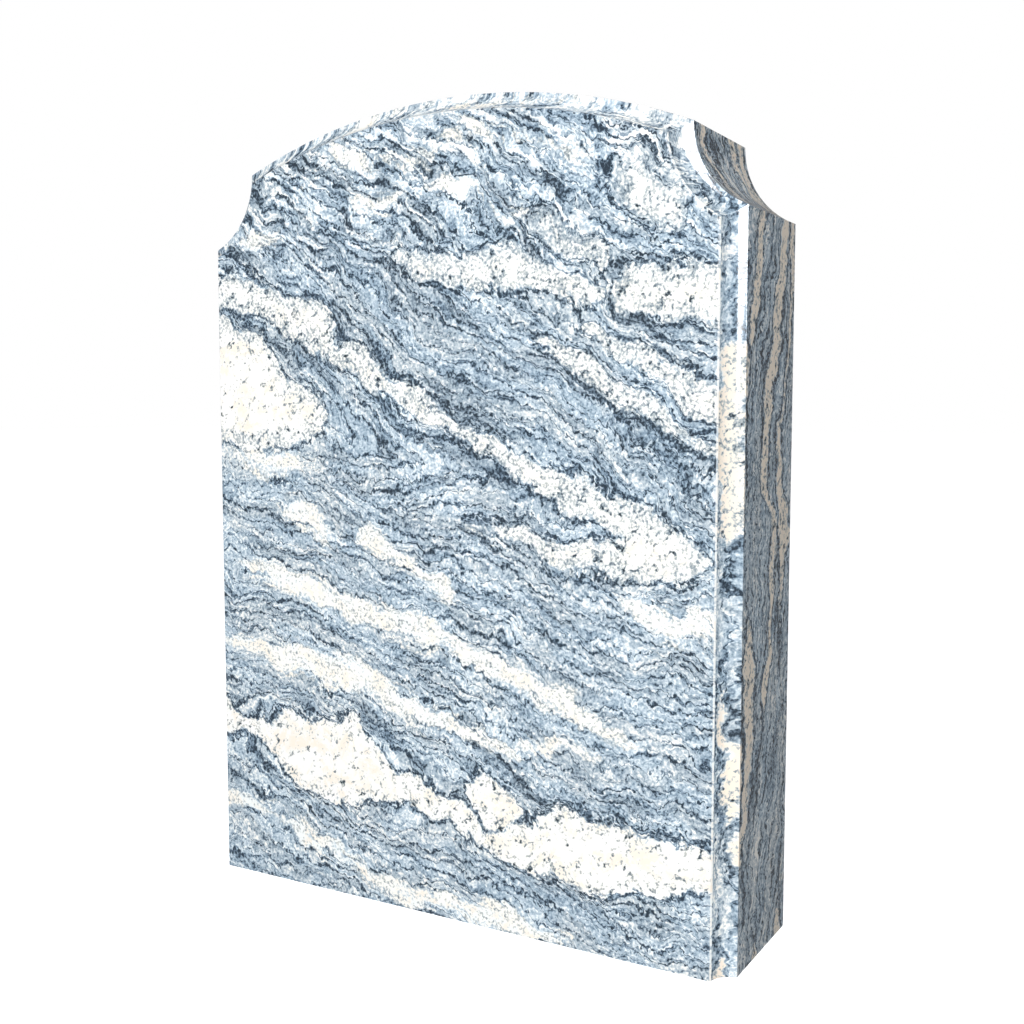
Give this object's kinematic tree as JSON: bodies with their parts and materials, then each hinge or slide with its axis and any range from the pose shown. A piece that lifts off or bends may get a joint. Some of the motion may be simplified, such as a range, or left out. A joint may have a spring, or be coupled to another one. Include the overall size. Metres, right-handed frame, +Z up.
{
  "type": "headstone",
  "caption": "Upright headstone slab of polished banded stone, with a shallow arched top, scooped corners, a coved front edge and a blank face. It stands by its own weight.",
  "frame": {"origin": "middle of the flat underside, on the surface that the stone stands on", "axes": "+Z up; -Y out of the front face, so +Y runs from the front to the back; +X to the right of someone who faces the front"},
  "size_m": [0.6096, 0.1524, 0.8128],
  "materials": {
    "polished_banded_stone": "polished"
  },
  "bodies": {
    "root": {"headstone": "polished_banded_stone"}
  },
  "joints": []
}
